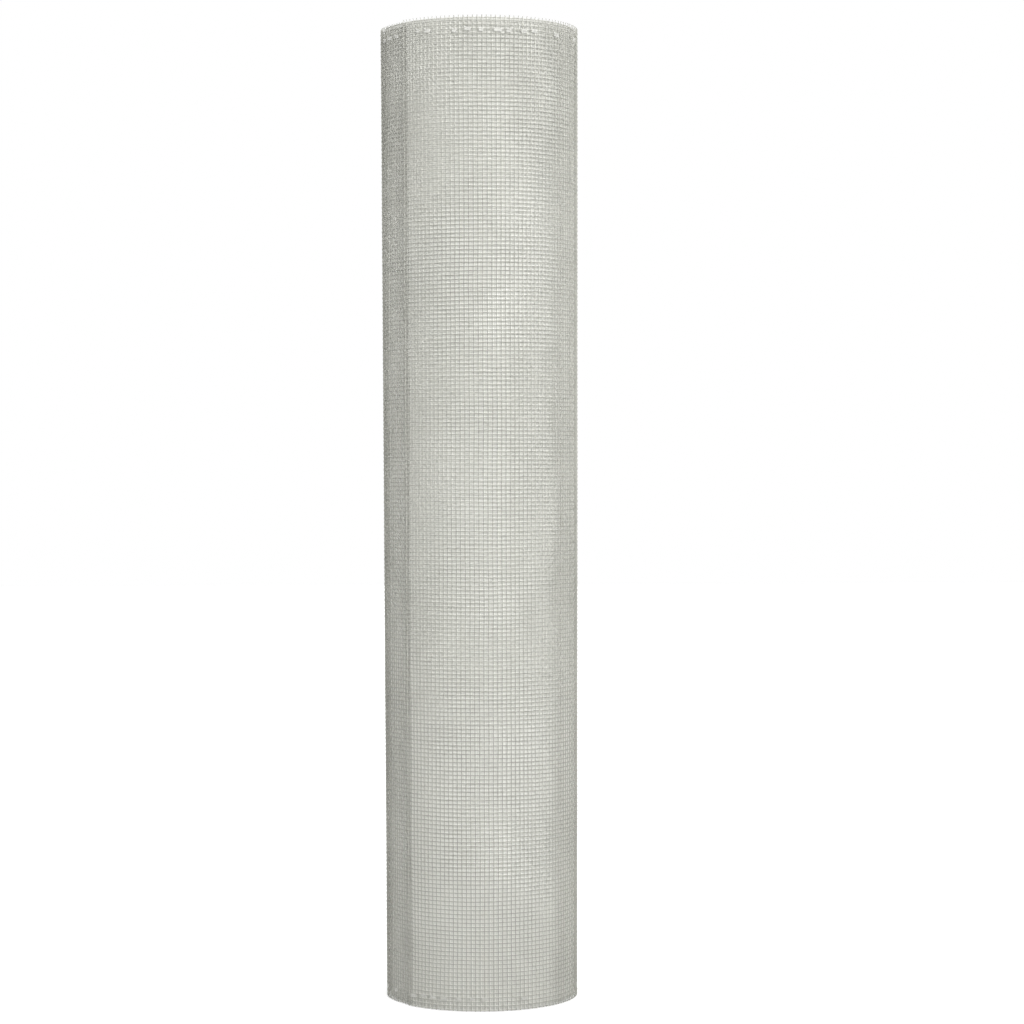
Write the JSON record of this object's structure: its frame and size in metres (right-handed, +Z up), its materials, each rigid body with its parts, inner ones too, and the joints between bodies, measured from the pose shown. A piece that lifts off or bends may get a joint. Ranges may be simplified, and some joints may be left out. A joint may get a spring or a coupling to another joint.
{
  "type": "roll of aluminium mesh",
  "caption": "Upright roll of woven aluminium wire mesh, loosely wound round an open bore, with selvedged ends that show the turns.",
  "frame": {"origin": "centre of the lower end, on the level that the roll stands on", "axes": "+Z up along the roll's own axis"},
  "size_m": [0.1226, 0.1226, 0.6],
  "materials": {
    "aluminium_mesh": "plain drawn aluminium wire, dull silver grey with a slightly warm cast"
  },
  "bodies": {
    "root": {"mesh_roll": "aluminium_mesh"}
  },
  "joints": []
}
